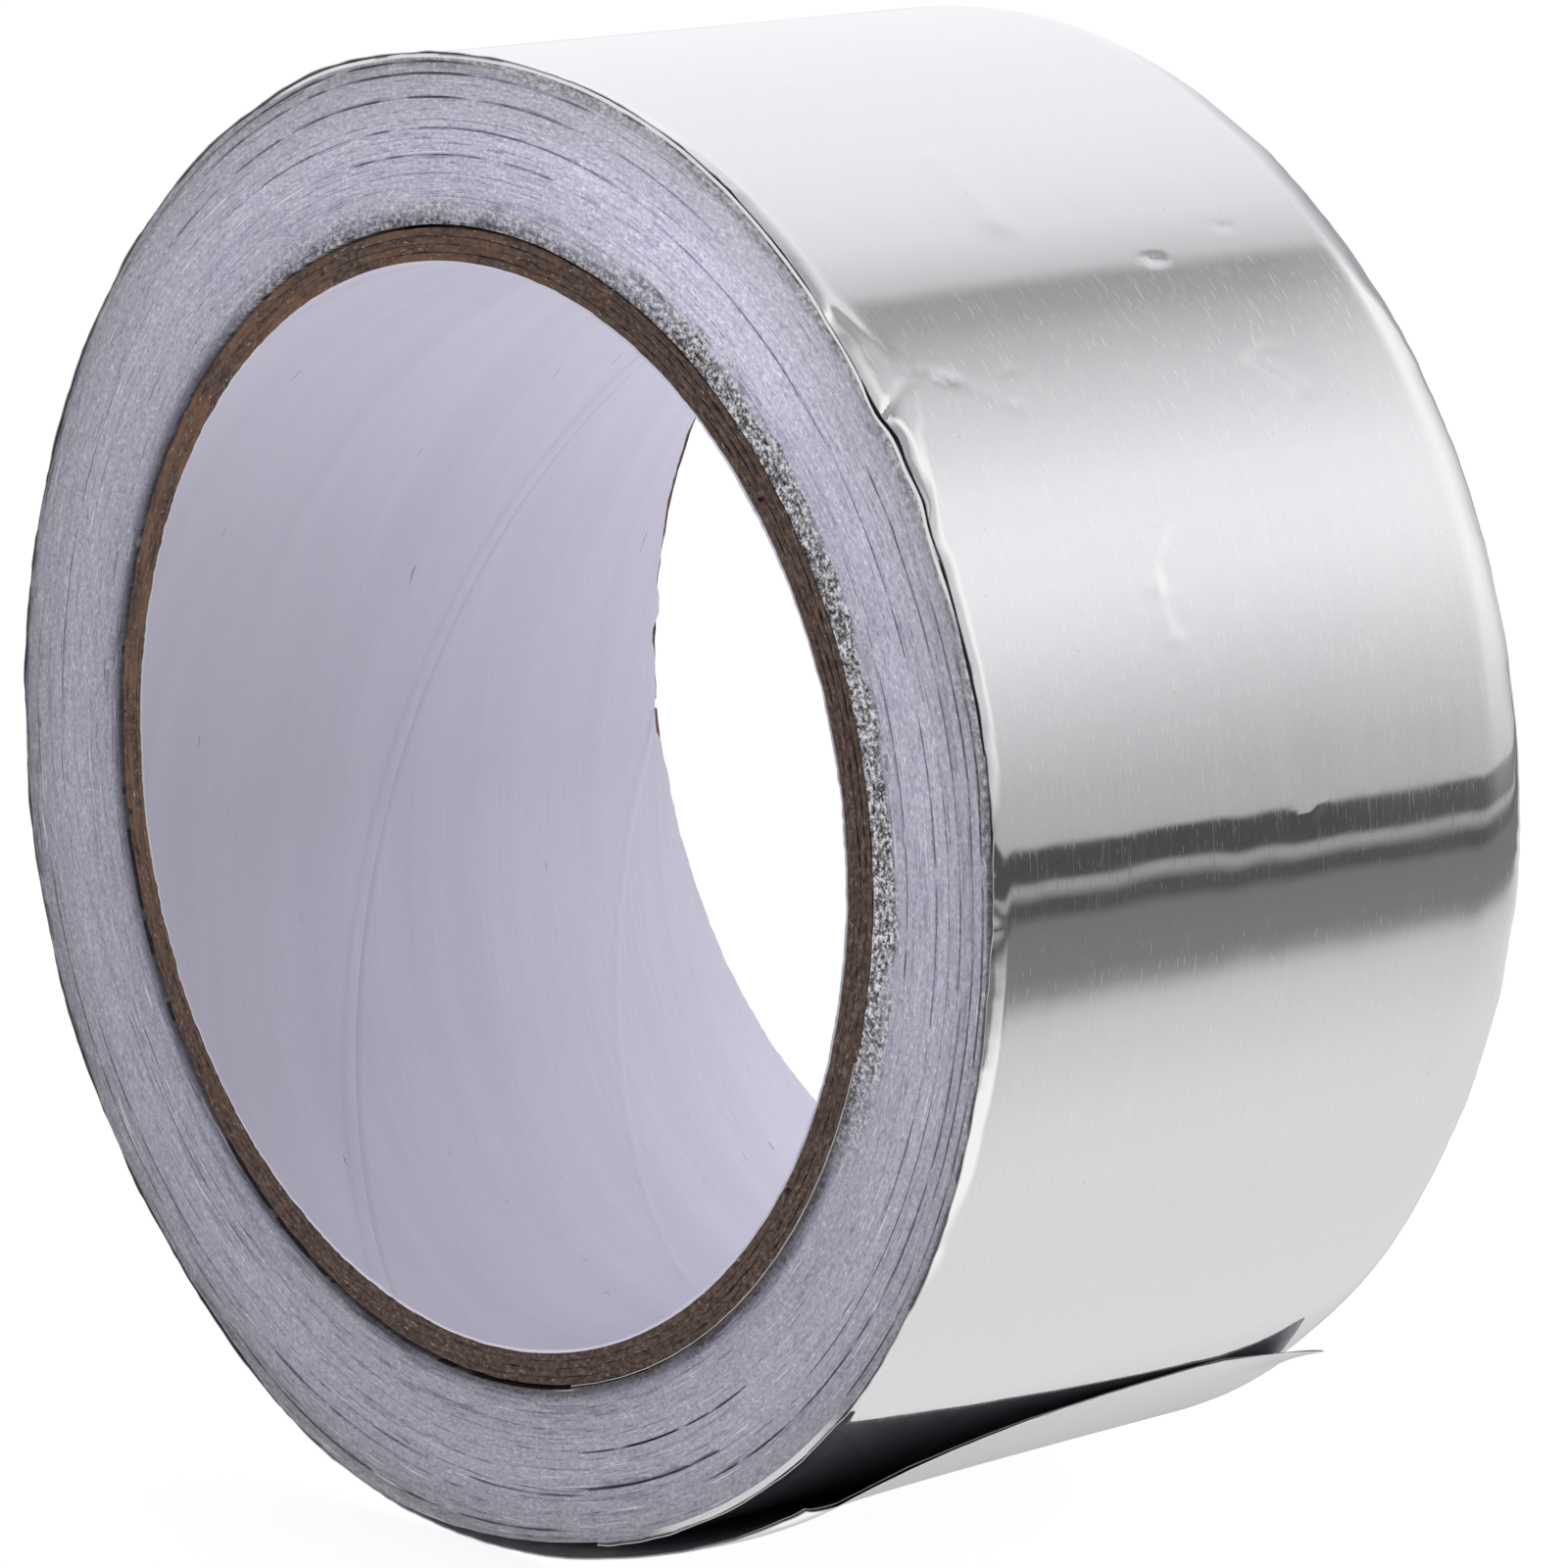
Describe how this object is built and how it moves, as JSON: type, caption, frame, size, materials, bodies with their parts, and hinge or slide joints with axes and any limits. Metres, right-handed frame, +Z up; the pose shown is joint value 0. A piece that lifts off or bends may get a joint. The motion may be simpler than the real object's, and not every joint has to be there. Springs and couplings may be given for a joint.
{
  "type": "duct tape roll",
  "caption": "Roll of aluminium foil duct tape with a release liner, wound on a spiral board core, its free end lifting off the roll.",
  "frame": {"origin": "on the surface under the roll, centred under its outline in X and at mid-width in Y", "axes": "the roll's axis runs along Y, +Z is up, and the free end points towards +X near the bottom"},
  "size_m": [0.1048, 0.05, 0.1052],
  "materials": {
    "core_lining": "matt white lining paper",
    "core_board": "raw brown coreboard",
    "wound_edge": "slit edge of stacked foil and liner, satin",
    "foil": "bright rolled foil, finely brushed",
    "adhesive": "clear tacky film",
    "release_liner": "smooth silicone-coated paper"
  },
  "bodies": {
    "roll": {"core_lining_paper": "core_lining", "core_ply_1": "core_board", "core_ply_2": "core_board", "core_ply_3": "core_board", "core_ply_4": "core_board", "start_adhesive": "adhesive", "wound_turns_inner": "wound_edge", "wound_turns_middle": "wound_edge", "wound_turns_outer": "wound_edge", "last_turn_foil": "foil", "last_turn_adhesive": "adhesive", "last_turn_release_liner": "release_liner"},
    "tape_end": {"tape_end_foil": "foil", "tape_end_adhesive": "adhesive"},
    "liner_end": {"tape_end_release_liner": "release_liner"}
  },
  "joints": [
    {"name": "tape_end_lift", "type": "hinge", "parent": "roll", "child": "tape_end", "pos_m": [0.0131, 0, 0.0015], "axis": [0, 1, 0], "range_deg": [0, 22]},
    {"name": "liner_follow", "type": "hinge", "parent": "roll", "child": "liner_end", "pos_m": [0.0131, 0, 0.0015], "axis": [0, 1, 0], "range_deg": [0, 6.6]}
  ],
  "couplings": [
    {"joint": "liner_follow", "follows": "tape_end_lift", "ratio": 0.3}
  ]
}
